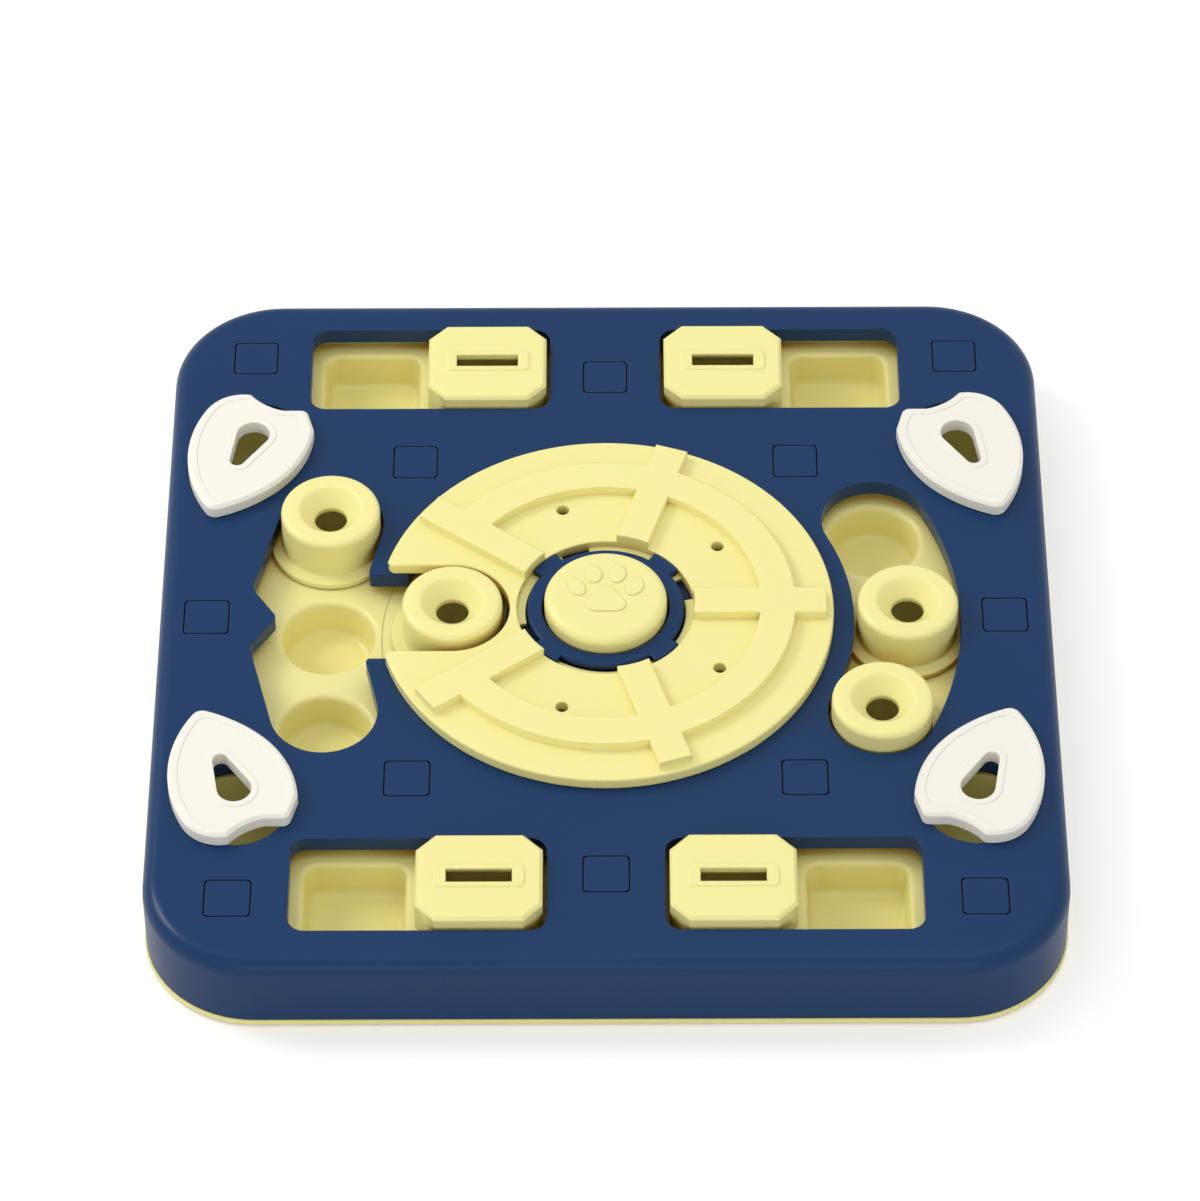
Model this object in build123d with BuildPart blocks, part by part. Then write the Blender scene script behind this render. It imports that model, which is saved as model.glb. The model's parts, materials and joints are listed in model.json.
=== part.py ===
"""Dog puzzle feeder: a navy board over yellow treat cups, closed by sliders, pucks, flaps and a wheel.

Frame: millimetres, +Z up, origin on the table under the board's centre, +X right, +Y away from the player.
"""

from build123d import *
from math import cos, radians, sin, tan
import os

# ---- Heights, from the table up ----------------------------------------------------------------------
foot_proud = 0.5  # rubber foot below the pan
pan_thickness = 2.3
pad_height = 1.7  # pads on the pan that carry cups and posts
cup_wall = 2.0
cup_depth = 12.0
channel_height = 4.2  # between the deck and the guide lips, where the flanges run
lip_depth = 5.4  # guide lips round the windows, from the cover's top face down
plate_thickness = 3.0
hub_rise = 4.2
button_rise = 5.3  # above the hub, to the plain top face
paw_rise = 0.4
button_travel = 3.5
slider_rise = 3.7
puck_rise = 7.0
flap_thickness = 4.7
wheel_plate = 3.8
wheel_rib = 3.0
slide_gap = 0.3  # between faces that slide over each other

# ---- Board -------------------------------------------------------------------------------------------
pan_corner = 34.0
rim_proud = 0.4  # the pan's rim outside the cover
cover_edge = 5.0
skirt_wall = 2.5
slot_margin = 13.6  # from a slot window to the pan's edge
hole_inset = 27.0  # from a corner hole's centre to the pan's side
rim_lip = 1.6
pan_edge = 0.6
pad_margin = 1.5
seat_gap = 0.3  # between pieces that nest

# ---- Wheel and hub -----------------------------------------------------------------------------------
wheel_overlap = 6.55  # the wheel's rim past its window in the cover
wheel_bore = 27.3
wheel_cup_radius = 47.0  # circle of the cups under the wheel
wheel_cups = 5
scent_hole = 2.0
scent_circle = 42.8
notch_play = 2.2  # round the puck that sits in the notch
notch_mouth_fillet = 2.0
ring_rib_inner = 47.5
ring_rib_outer = 58.2
spoke_width = 10.2
spoke_inset = 2.3  # from the spokes' ends to the wheel's edge
wheel_edge = 0.7
rib_edge = 0.5
tab_count = 4
tab_span = 70.0
tab_start = 31.0
tab_inner = 24.6
tab_thickness = 1.5
hub_outer = 24.0
hub_shoulder = 1.5  # radial step that stops the button's flange
hub_foot = 26.4
hub_rail = 1.5
lug_count = 4
lug_angle = 45.0
lug_span = 21.0
lug_thickness = 2.1
lug_gap = 0.5
hub_edge = 0.6

# ---- Button and squeaker -----------------------------------------------------------------------------
button_radius = 18.8
button_play = 0.75
button_wall = 2.0
button_flange = 1.5
button_edge = 2.8
button_shoulder = 10.0  # from the hub's top down to the stop
toe_width = 5.2
toe_length = 7.4
toe_outer_x = 8.9
toe_outer_y = 3.2
toe_outer_tilt = 25.0
toe_inner_x = 3.7
toe_inner_y = 8.6
toe_inner_tilt = 8.0
pad_top_y = 0.2
pad_top_radius = 3.2
pad_heel_x = 3.2
pad_heel_y = -3.8
pad_heel_radius = 3.0
bellows_outer = 16.0
bellows_inner = 12.5
bellows_folds = 4
bellows_wall = 1.2

# ---- Pucks and their windows -------------------------------------------------------------------------
puck_radius = 15.4
puck_play = 0.95
puck_wall = 2.0
puck_edge = 2.0
puck_flange = 19.0
flange_thickness = 2.2
funnel_top = 9.8
funnel_hole = 5.0
funnel_depth = 4.9
cup_radius = 14.3
cup_draft = 6.0
cup_rim_fillet = 2.0
cup_floor_fillet = 2.4
cup_pitch = 38.7  # between the cups of the maze column
maze_gap = 15.5  # from the wheel's edge to the maze column
maze_channel = 17.3  # half width of the channel to the wheel
maze_corner = 12.0  # from the column to the channel's corner
maze_corner_fillet = 1.2
maze_shoulder_x = 18.4
maze_shoulder_y = 12.8
maze_shoulder_radius = 4.8
maze_tooth = 15.6  # from the column to the tooth's tip
maze_tooth_fillet = 2.0
kidney_gap = 6.3  # from the wheel's edge to the kidney window
kidney_angle = 25.5

# ---- Slots and sliders -------------------------------------------------------------------------------
slot_inner = 17.5
slot_length = 76.1
slot_width = 35.1
slot_corner = 5.0
wheel_to_slot = 18.9
slider_length = 37.6
slider_play = 1.2
slider_corner = 5.8
slider_edge = 1.0
slider_wall = 2.0
slider_flange = 2.0  # beyond the window's edge
finger_length = 19.5
finger_width = 5.0
finger_border_ends = 3.75
finger_border_sides = 1.75
finger_border_rise = 0.4
finger_border_edge = 0.25
slot_cup = 30.5
slot_cup_corner = 4.5
slot_cup_rim = 1.5
slot_cup_pitch = 38.1

# ---- Trays -------------------------------------------------------------------------------------------
lip_wall = 1.5
tray_reach = 3.9  # from a window's edge to the tray's inner wall
tray_wall = 1.6
deck_thickness = 2.0
tray_seam = 0.05

# ---- Corner holes and flaps --------------------------------------------------------------------------
hole_radius = 16.3
hole_from_slot_x = 16.9
hole_from_slot_y = 13.8
corner_cup_wall = 1.6
corner_cup_inset = 1.0
flap_gap = 0.2
flap_edge = 1.0
flap_wall = 2.2
flap_border = 3.0  # raised border round the flap's shallow recess
flap_recess = 0.3
tip_x = 12.6  # the flap's outline, from its hole's centre
tip_y = -34.0
tip_fillet = 3.5
flank_x = 19.0
flank_y = -21.0
side_x = 20.5
side_y = -7.0
crown_x = 15.4
crown_y = 10.0
horn_x = 1.6
horn_y = 16.3
horn_fillet = 1.3
bite_x = -2.8
bite_y = 12.1
heel_x = -16.2
heel_y = 9.3
heel_start_x = -9.0
heel_fillet = 2.5
inner_side_x = -18.7
inner_side_y = 0.5
belly_x = -14.5
belly_y = -13.8
belly_end_x = -6.5
belly_end_y = -23.8
tear_wide = 5.2
tear_wide_x = 0.3
tear_wide_y = -1.9
tear_narrow = 2.4
tear_narrow_x = 4.9
tear_narrow_y = -12.9
tear_rim = 2.0
pivot_x = 8.9
pivot_y = -24.5
pivot_radius = 4.0
pivot_play = 0.08
washer_radius = 6.5
washer_thickness = 1.2
flap_screw_radius = 1.4
flap_screw_head = 2.8
flap_screw_length = 7.0

# ---- Plugs, screws and feet --------------------------------------------------------------------------
plug_size = 13.2
plug_groove = 0.45
plug_corner = 1.3
plug_thickness = 1.7
plug_stem = 4.0
plug_stem_length = 3.0
corner_plug_inset = 26.0
side_plug_inset = 15.0
slot_plug_drop = 3.7  # the plugs between the slots sit this far inside the slot's middle line
diagonal_plug_gap = 18.6  # from the wheel's edge
diagonal_plug_angle = 47.65
post_radius = 5.5
screw_radius = 1.7
screw_head = 3.6
screw_head_height = 2.0
screw_length = 14.0
screw_play = 0.1
hub_screw_radius = 1.2
hub_screw_head = 2.4
hub_screw_length = 5.0  # into the hub
foot_radius = 7.0
foot_recess = 1.0
foot_inset = 40.0
foot_edge = 0.3

# ---- Levels and places worked out from the sizes above -----------------------------------------------
pan_bottom = foot_proud
pan_top = pan_bottom + pan_thickness
cup_bottom = pan_top + pad_height
cup_floor = cup_bottom + cup_wall
deck_top = cup_floor + cup_depth
deck_bottom = deck_top - deck_thickness
lip_bottom = deck_top + channel_height
cover_top = lip_bottom + lip_depth
plate_bottom = cover_top - plate_thickness
wheel_bottom = cover_top + slide_gap
wheel_top = wheel_bottom + wheel_plate
hub_top = cover_top + hub_rise
button_top = hub_top + button_rise
slider_top = cover_top + slider_rise
puck_top = cover_top + puck_rise
flange_bottom = deck_top + slide_gap
flap_bottom = cover_top + flap_gap
flap_top = flap_bottom + flap_thickness

window_radius = puck_radius + puck_play
notch_radius = puck_radius + notch_play
wheel_window = wheel_cup_radius + window_radius
wheel_radius = wheel_window + wheel_overlap
spoke_end = wheel_radius - spoke_inset
hub_flange = wheel_cup_radius - window_radius
slot_row = wheel_radius + wheel_to_slot + slot_width / 2
slot_end = slot_inner + slot_length
pan_half = max(slot_row + slot_width / 2 + slot_margin, slot_end + hole_from_slot_x + hole_inset)
cover_half = pan_half - rim_proud
cover_corner = pan_corner - rim_proud
slot_middle = slot_inner + slot_length / 2
slider_start = slot_inner + slider_play + slider_length / 2
slider_width = slot_width - 2 * slider_play
maze_column = wheel_radius + maze_gap
kidney_path = wheel_radius + kidney_gap + window_radius
hole_x = pan_half - hole_inset
hole_y = slot_row - slot_width / 2 - hole_from_slot_y
hub_bore = button_radius + button_play
button_flange_radius = hub_bore + hub_shoulder - slide_gap
hub_shoulder_z = hub_top - button_shoulder
wheel_tray_radius = wheel_window + tray_reach + tray_wall
lug_outer = wheel_bore - lug_gap
hub_screw_circle = (hub_bore + hub_shoulder + hub_foot) / 2

corner_plug = pan_half - corner_plug_inset
side_plug = pan_half - side_plug_inset
slot_plug = slot_row - slot_plug_drop
diagonal_plug = wheel_radius + diagonal_plug_gap
diagonal_plug_x = diagonal_plug * cos(radians(diagonal_plug_angle))
diagonal_plug_y = diagonal_plug * sin(radians(diagonal_plug_angle))

quarters = [(1, 1), (-1, 1), (-1, -1), (1, -1)]
plug_places = [(sx * corner_plug, sy * corner_plug) for sx, sy in quarters]
plug_places += [(sx * diagonal_plug_x, sy * diagonal_plug_y) for sx, sy in quarters]
plug_places += [(side_plug, 0), (-side_plug, 0), (0, slot_plug), (0, -slot_plug)]

wheel_cup_angles = [180 + i * 360 / wheel_cups for i in range(wheel_cups)]
spoke_angles = [angle + 180 / wheel_cups for angle in wheel_cup_angles]
kidney_angles = [kidney_angle, 0, -kidney_angle]
foot_place = pan_half - foot_inset


def ring_place(radius, angle):
    """The point at an angle on a circle round the board's centre."""
    return (radius * cos(radians(angle)), radius * sin(radians(angle)))


# ---- Outlines shared by the cover and the trays ------------------------------------------------------
def slot_outline(grow=0.0):
    """One slot window, at the board's middle, grown outwards."""
    with BuildSketch() as outline:
        RectangleRounded(slot_length + 2 * grow, slot_width + 2 * grow, slot_corner + grow)
    return outline.sketch


def kidney_outline(grow=0.0):
    """The kidney window: an arc round the wheel with round ends."""
    with BuildSketch() as outline:
        with BuildLine(mode=Mode.PRIVATE):
            path = CenterArc((0, 0), kidney_path, -kidney_angle, 2 * kidney_angle)
        SlotArc(path, 2 * (window_radius + grow))
    return outline.sketch


def maze_outline(grow=0.0):
    """The maze window: two lobes with shoulders, a tooth between them and a channel to the wheel."""
    tooth_tip = (-maze_column - maze_tooth, 0)
    corner = (-maze_column + maze_corner, maze_channel)
    with BuildSketch() as outline:
        with BuildLine():
            CenterArc((-maze_column, cup_pitch), window_radius, 0, 360)
            CenterArc((-maze_column - maze_shoulder_x, maze_shoulder_y), maze_shoulder_radius, 0, 360)
            Line(corner, tooth_tip)
        make_hull()
        with BuildLine():
            Polyline(tooth_tip, corner, (-wheel_cup_radius, maze_channel), (-wheel_cup_radius, 0), close=True)
        make_face()
        mirror(about=Plane.XZ)
        tooth = outline.vertices().filter_by_position(Axis.Y, -0.01, 0.01).sort_by(Axis.X)[0]
        fillet(tooth, maze_tooth_fillet)
        for side in (-1, 1):
            fillet(outline.vertices().sort_by_distance((corner[0], side * corner[1]))[0], maze_corner_fillet)
        if grow:
            offset(amount=grow)
    return outline.sketch


def from_hole(x, y):
    """A point of the right rear flap, given from its hole's centre."""
    return (hole_x + x, hole_y + y)


def flap_outline(grow=0.0):
    """The right rear flap: a bulging leaf with a bitten end, its tip over the pivot."""
    tip = from_hole(tip_x, tip_y)
    horn = from_hole(horn_x, horn_y)
    heel = from_hole(heel_x, heel_y)
    heel_start = from_hole(heel_start_x, heel_y)
    inner_side = from_hole(inner_side_x, inner_side_y)
    with BuildSketch() as outline:
        with BuildLine():
            flank = ThreePointArc(tip, from_hole(flank_x, flank_y), from_hole(side_x, side_y))
            crown = TangentArc(flank @ 1, from_hole(crown_x, crown_y), tangent=flank % 1)
            TangentArc(crown @ 1, horn, tangent=crown % 1)
            ThreePointArc(horn, from_hole(bite_x, bite_y), heel_start)
            Line(heel_start, heel)
            Line(heel, inner_side)
            belly = ThreePointArc(
                inner_side, from_hole(belly_x, belly_y), from_hole(belly_end_x, belly_end_y)
            )
            TangentArc(belly @ 1, tip, tangent=belly % 1)
        make_face()
        if grow:
            offset(amount=grow)
        fillet(outline.vertices().sort_by_distance(tip)[0], tip_fillet)
        fillet(outline.vertices().sort_by_distance(heel)[0], heel_fillet)
        fillet(outline.vertices().sort_by_distance(horn)[0], horn_fillet)
    return outline.sketch


def tear_outline(grow=0.0):
    """The flap's tear-shaped hole: two circles joined by their tangents."""
    with BuildSketch() as outline:
        with BuildLine():
            CenterArc(from_hole(tear_wide_x, tear_wide_y), tear_wide + grow, 0, 360)
            CenterArc(from_hole(tear_narrow_x, tear_narrow_y), tear_narrow + grow, 0, 360)
        make_hull()
    return outline.sketch


pivot_place = from_hole(pivot_x, pivot_y)


def ring_sector(inner, outer, start, span):
    """A flat piece of a ring round the board's centre."""
    with BuildSketch() as sector:
        with BuildLine():
            rim = CenterArc((0, 0), outer, start, span)
            bore = CenterArc((0, 0), inner, start, span)
            Line(bore @ 0, rim @ 0)
            Line(bore @ 1, rim @ 1)
        make_face()
    return sector.sketch


def add_dish(outline, place=(0, 0)):
    """A deck with an upright wall round it, up to just below the cover's plate."""
    with BuildSketch(Plane.XY.offset(deck_bottom)) as block:
        with Locations(place):
            add(outline(tray_reach + tray_wall))
    extrude(block.sketch, amount=plate_bottom - seat_gap - deck_bottom)
    with BuildSketch(Plane.XY.offset(deck_top)) as hollow:
        with Locations(place):
            add(outline(tray_reach))
    extrude(hollow.sketch, amount=plate_bottom - deck_top, mode=Mode.SUBTRACT)


def add_round_cups(places):
    """Hang tapered round cups under the deck, and round their rims."""
    with BuildSketch(Plane.XY.offset(deck_top)) as shells:
        with Locations(*places):
            Circle(cup_radius + cup_wall)
    extrude(shells.sketch, amount=cup_bottom - deck_top, taper=cup_draft)
    with BuildSketch(Plane.XY.offset(deck_top)) as hollows:
        with Locations(*places):
            Circle(cup_radius)
    extrude(hollows.sketch, amount=cup_floor - deck_top, taper=cup_draft, mode=Mode.SUBTRACT)


def round_edges(piece, height, radius):
    """A piece's circles of one radius at one height."""
    level = piece.edges().filter_by_position(Axis.Z, height - 0.01, height + 0.01)
    return [edge for edge in level.filter_by(GeomType.CIRCLE) if abs(edge.radius - radius) < 0.01]


def round_off_cups(tray):
    """Fillet the round cups' rims and the feet of their walls."""
    fillet(round_edges(tray, deck_top, cup_radius), cup_rim_fillet)
    fillet(round_edges(tray, cup_floor, cup_radius - cup_depth * tan(radians(cup_draft))), cup_floor_fillet)


os.makedirs("parts", exist_ok=True)


def save(part, name):
    """Label a finished piece and write it."""
    part.label = name
    export_step(part, f"parts/{name}.step")


maze_cups = [(-maze_column, cup_pitch), (-maze_column, 0), (-maze_column, -cup_pitch)]
kidney_cups = [ring_place(kidney_path, angle) for angle in kidney_angles]
wheel_cup_places = [ring_place(wheel_cup_radius, angle) for angle in wheel_cup_angles]
hole_places = [(sx * hole_x, sy * hole_y) for sx, sy in quarters]
slot_places = [(sx * slot_middle, sy * slot_row) for sx, sy in quarters]
foot_places = [(sx * foot_place, sy * foot_place) for sx, sy in quarters]
hub_screw_places = [
    ring_place(hub_screw_circle, lug_angle + i * 360 / lug_count) for i in range(lug_count)
]

# ---- Base pan ----------------------------------------------------------------------------------------
underside = Plane(origin=(0, 0, pan_bottom), x_dir=(1, 0, 0), z_dir=(0, 0, -1))
lip_half = cover_half - skirt_wall - seat_gap
lip_corner = cover_corner - skirt_wall - seat_gap

with BuildPart() as base_pan:
    with BuildSketch(Plane.XY.offset(pan_bottom)):
        RectangleRounded(2 * pan_half, 2 * pan_half, pan_corner)
    extrude(amount=pan_thickness)
    chamfer(base_pan.faces().sort_by(Axis.Z)[0].outer_wire().edges(), pan_edge)
    with BuildSketch(Plane.XY.offset(pan_top)):
        RectangleRounded(2 * lip_half, 2 * lip_half, lip_corner)
        RectangleRounded(
            2 * (lip_half - rim_lip), 2 * (lip_half - rim_lip), lip_corner - rim_lip, mode=Mode.SUBTRACT
        )
        with Locations(*plug_places):
            Circle(post_radius + pad_margin)
        with Locations(*maze_cups, *kidney_cups, *wheel_cup_places, *hole_places):
            Circle(cup_radius - pad_margin)
        for place in slot_places:
            with Locations(place):
                with GridLocations(slot_cup_pitch, 0, 2, 1):
                    RectangleRounded(slot_cup - 2 * pad_margin, slot_cup - 2 * pad_margin, slot_cup_corner)
        Circle(button_radius + pad_margin)
    extrude(amount=pad_height)
    with Locations(underside):
        with Locations(*plug_places):
            CounterBoreHole(
                radius=screw_radius + screw_play,
                counter_bore_radius=screw_head + screw_play,
                counter_bore_depth=screw_head_height,
            )
        with Locations(*foot_places):
            Hole(radius=foot_radius, depth=foot_recess)
save(base_pan.part, "base_pan")

# ---- Cover -------------------------------------------------------------------------------------------
with BuildSketch() as windows:
    for place in slot_places:
        with Locations(place):
            add(slot_outline())
    add(kidney_outline())
    add(maze_outline())
    Circle(wheel_window)
    with Locations(*hole_places):
        Circle(hole_radius)
with BuildSketch() as lips:
    add(windows.sketch)
    offset(amount=lip_wall)
    add(windows.sketch, mode=Mode.SUBTRACT)

with BuildPart() as top_cover:
    with BuildSketch(Plane.XY.offset(pan_top)):
        RectangleRounded(2 * cover_half, 2 * cover_half, cover_corner)
    extrude(amount=cover_top - pan_top)
    fillet(top_cover.faces().sort_by(Axis.Z)[-1].edges(), cover_edge)
    with BuildSketch(Plane.XY.offset(pan_top)):
        inner_half = cover_half - skirt_wall
        RectangleRounded(2 * inner_half, 2 * inner_half, cover_corner - skirt_wall)
    extrude(amount=plate_bottom - pan_top, mode=Mode.SUBTRACT)
    with BuildSketch(Plane.XY.offset(cup_bottom)):
        with Locations(*plug_places):
            Circle(post_radius)
    extrude(amount=plate_bottom - cup_bottom)
    with BuildSketch(Plane.XY.offset(lip_bottom)):
        add(lips.sketch)
    extrude(amount=plate_bottom - lip_bottom)
    with BuildSketch(Plane.XY.offset(plate_bottom)):
        add(windows.sketch)
    extrude(amount=plate_thickness, mode=Mode.SUBTRACT)
    with BuildSketch(Plane.XY.offset(cover_top)):
        with Locations(*plug_places):
            RectangleRounded(plug_size + 2 * plug_groove, plug_size + 2 * plug_groove, plug_corner)
    extrude(amount=-plug_thickness, mode=Mode.SUBTRACT)
    with BuildSketch(Plane.XY.offset(cover_top - plug_thickness)):
        with Locations(*plug_places):
            Circle(plug_stem + screw_play)
    extrude(amount=-plug_stem_length, mode=Mode.SUBTRACT)
    with BuildSketch(Plane.XY.offset(cup_bottom)):
        with Locations(*plug_places):
            Circle(screw_radius + screw_play)
    extrude(amount=screw_length, mode=Mode.SUBTRACT)
    with BuildSketch(Plane.XY.offset(plate_bottom)):
        with Locations(*[(sx * pivot_place[0], sy * pivot_place[1]) for sx, sy in quarters]):
            Circle(pivot_radius + pivot_play)
    extrude(amount=plate_thickness, mode=Mode.SUBTRACT)
save(top_cover.part, "top_cover")

# ---- Plugs, cover screws and feet --------------------------------------------------------------------
with BuildPart() as cover_plugs:
    with BuildSketch(Plane.XY.offset(cover_top - plug_thickness)):
        with Locations(*plug_places):
            RectangleRounded(plug_size, plug_size, plug_corner)
    extrude(amount=plug_thickness)
    with BuildSketch(Plane.XY.offset(cover_top - plug_thickness)):
        with Locations(*plug_places):
            Circle(plug_stem)
    extrude(amount=seat_gap - plug_stem_length)
save(cover_plugs.part, "cover_plugs")

with BuildPart() as cover_screws:
    with BuildSketch(Plane.XY.offset(pan_bottom)):
        with Locations(*plug_places):
            Circle(screw_head)
    extrude(amount=screw_head_height)
    with BuildSketch(Plane.XY.offset(pan_bottom + screw_head_height)):
        with Locations(*plug_places):
            Circle(screw_radius)
    extrude(amount=screw_length)
save(cover_screws.part, "cover_screws")

with BuildPart() as rubber_feet:
    with BuildSketch():
        with Locations(*foot_places):
            Circle(foot_radius)
    extrude(amount=foot_proud + foot_recess)
    chamfer(rubber_feet.faces().filter_by_position(Axis.Z, -0.01, 0.01).edges(), foot_edge)
save(rubber_feet.part, "rubber_feet")

# ---- Trays -------------------------------------------------------------------------------------------
for number, place in enumerate(slot_places, 1):
    with BuildPart() as slot_tray:
        add_dish(slot_outline, place)
        with BuildSketch(Plane.XY.offset(deck_top)):
            with Locations(place):
                with GridLocations(slot_cup_pitch, 0, 2, 1):
                    RectangleRounded(
                        slot_cup + 2 * cup_wall, slot_cup + 2 * cup_wall, slot_cup_corner + cup_wall
                    )
        extrude(amount=cup_bottom - deck_top, taper=cup_draft)
        with BuildSketch(Plane.XY.offset(deck_top)):
            with Locations(place):
                with GridLocations(slot_cup_pitch, 0, 2, 1):
                    RectangleRounded(slot_cup, slot_cup, slot_cup_corner)
        extrude(amount=cup_floor - deck_top, taper=cup_draft, mode=Mode.SUBTRACT)
        floors = slot_tray.faces().filter_by_position(Axis.Z, cup_floor - 0.01, cup_floor + 0.01)
        fillet(floors.edges(), cup_floor_fillet)
        deck = slot_tray.faces().filter_by_position(Axis.Z, deck_top - 0.01, deck_top + 0.01)[0]
        fillet(deck.inner_wires().edges(), slot_cup_rim)
    save(slot_tray.part, f"slot_tray_{number}")

with BuildPart() as maze_tray:
    add_dish(maze_outline)
    add_round_cups(maze_cups)
    with BuildSketch(Plane.XY.offset(cup_bottom)):
        Circle(wheel_tray_radius + tray_seam)
    extrude(amount=plate_bottom - cup_bottom, mode=Mode.SUBTRACT)
    round_off_cups(maze_tray)
save(maze_tray.part, "maze_tray")

with BuildPart() as kidney_tray:
    add_dish(kidney_outline)
    add_round_cups(kidney_cups)
    round_off_cups(kidney_tray)
save(kidney_tray.part, "kidney_tray")


def wheel_dish_outline(grow):
    """The round tray under the wheel, open at the middle for the button."""
    with BuildSketch() as outline:
        Circle(wheel_window + grow)
        Circle(hub_bore + hub_shoulder, mode=Mode.SUBTRACT)
    return outline.sketch


with BuildPart() as wheel_tray:
    add_dish(wheel_dish_outline)
    add_round_cups(wheel_cup_places)
    with BuildSketch(Plane.XY.offset(deck_top)):
        with Locations((-wheel_tray_radius, 0)):
            Rectangle(wheel_tray_radius, 2 * (maze_channel + tray_reach))
    extrude(amount=plate_bottom - deck_top, mode=Mode.SUBTRACT)
    with BuildSketch(Plane.XY.offset(deck_bottom)):
        with Locations(*hub_screw_places):
            Circle(hub_screw_radius + screw_play)
    extrude(amount=deck_thickness, mode=Mode.SUBTRACT)
    round_off_cups(wheel_tray)
save(wheel_tray.part, "wheel_tray")

corner_cup_top = lip_bottom - seat_gap
for number, place in enumerate(hole_places, 1):
    with BuildPart() as corner_cup:
        with BuildSketch(Plane.XY.offset(corner_cup_top)):
            with Locations(place):
                Circle(hole_radius - corner_cup_inset + corner_cup_wall)
        extrude(amount=cup_bottom - corner_cup_top, taper=cup_draft)
        with BuildSketch(Plane.XY.offset(corner_cup_top)):
            with Locations(place):
                Circle(hole_radius - corner_cup_inset)
        extrude(amount=cup_floor - corner_cup_top, taper=cup_draft, mode=Mode.SUBTRACT)
        floor = corner_cup.faces().filter_by_position(Axis.Z, cup_floor - 0.01, cup_floor + 0.01)
        fillet(floor.edges(), cup_floor_fillet)
    save(corner_cup.part, f"corner_cup_{number}")

# ---- Hub and its screws ------------------------------------------------------------------------------
with BuildPart() as centre_hub:
    with BuildSketch(Plane.XZ):
        with BuildLine():
            Polyline(
                (hub_bore + hub_shoulder, deck_top),
                (hub_foot, deck_top),
                (hub_foot, plate_bottom),
                (hub_flange - hub_rail, plate_bottom),
                (hub_flange - hub_rail, lip_bottom),
                (hub_flange, lip_bottom),
                (hub_flange, cover_top),
                (hub_outer, cover_top),
                (hub_outer, hub_top - hub_edge),
                (hub_outer - hub_edge, hub_top),
                (hub_bore, hub_top),
                (hub_bore, hub_shoulder_z),
                (hub_bore + hub_shoulder, hub_shoulder_z),
                close=True,
            )
        make_face()
    revolve(axis=Axis.Z)
    with BuildSketch(Plane.XY.offset(hub_top - lug_thickness)):
        with PolarLocations(0, lug_count, start_angle=lug_angle):
            add(ring_sector(hub_outer - hub_edge, lug_outer, -lug_span / 2, lug_span))
    extrude(amount=lug_thickness)
    with BuildSketch(Plane.XY.offset(deck_top)):
        with Locations(*hub_screw_places):
            Circle(hub_screw_radius + screw_play)
    extrude(amount=hub_screw_length, mode=Mode.SUBTRACT)
save(centre_hub.part, "centre_hub")

with BuildPart() as hub_screws:
    with BuildSketch(Plane.XY.offset(deck_bottom)):
        with Locations(*hub_screw_places):
            Circle(hub_screw_head)
    extrude(amount=-screw_head_height)
    with BuildSketch(Plane.XY.offset(deck_bottom)):
        with Locations(*hub_screw_places):
            Circle(hub_screw_radius)
    extrude(amount=deck_thickness + hub_screw_length - seat_gap)
save(hub_screws.part, "hub_screws")

# ---- Wheel -------------------------------------------------------------------------------------------
with BuildPart() as wheel:
    with BuildSketch(Plane.XY.offset(wheel_bottom)) as disc:
        Circle(wheel_radius)
        Circle(wheel_bore, mode=Mode.SUBTRACT)
        with Locations((-wheel_cup_radius, 0)):
            Circle(notch_radius, mode=Mode.SUBTRACT)
        with Locations((-wheel_cup_radius - wheel_radius / 2, 0)):
            Rectangle(wheel_radius, 2 * notch_radius, mode=Mode.SUBTRACT)
        fillet(disc.vertices().group_by(Axis.X)[0], notch_mouth_fillet)
        with Locations(*[ring_place(scent_circle, angle) for angle in wheel_cup_angles[1:]]):
            Circle(scent_hole, mode=Mode.SUBTRACT)
    extrude(amount=wheel_plate)
    rim = wheel.faces().sort_by(Axis.Z)[-1].edges().filter_by(GeomType.CIRCLE)
    fillet([edge for edge in rim if abs(edge.radius - wheel_radius) < 0.01], wheel_edge)
    with BuildSketch(Plane.XY.offset(wheel_top)) as ribs:
        for angle in spoke_angles:
            with Locations(Rotation(0, 0, angle)):
                with Locations((spoke_end / 2, 0)):
                    Rectangle(spoke_end, spoke_width)
        add(
            ring_sector(
                ring_rib_inner, ring_rib_outer, spoke_angles[0] - 360, 360 - 360 / wheel_cups
            )
        )
        Circle(wheel_bore, mode=Mode.SUBTRACT)
    extrude(ribs.sketch, amount=wheel_rib - rib_edge)
    with BuildSketch(Plane.XY.offset(wheel_top + wheel_rib - rib_edge)) as rib_tops:
        add(ribs.sketch)
    extrude(rib_tops.sketch, amount=rib_edge, taper=45)
    with BuildSketch(Plane.XY.offset(wheel_bottom)):
        with PolarLocations(0, tab_count, start_angle=tab_start):
            add(ring_sector(tab_inner, wheel_bore, 0, tab_span))
    extrude(amount=tab_thickness)
save(wheel.part, "wheel")

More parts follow.
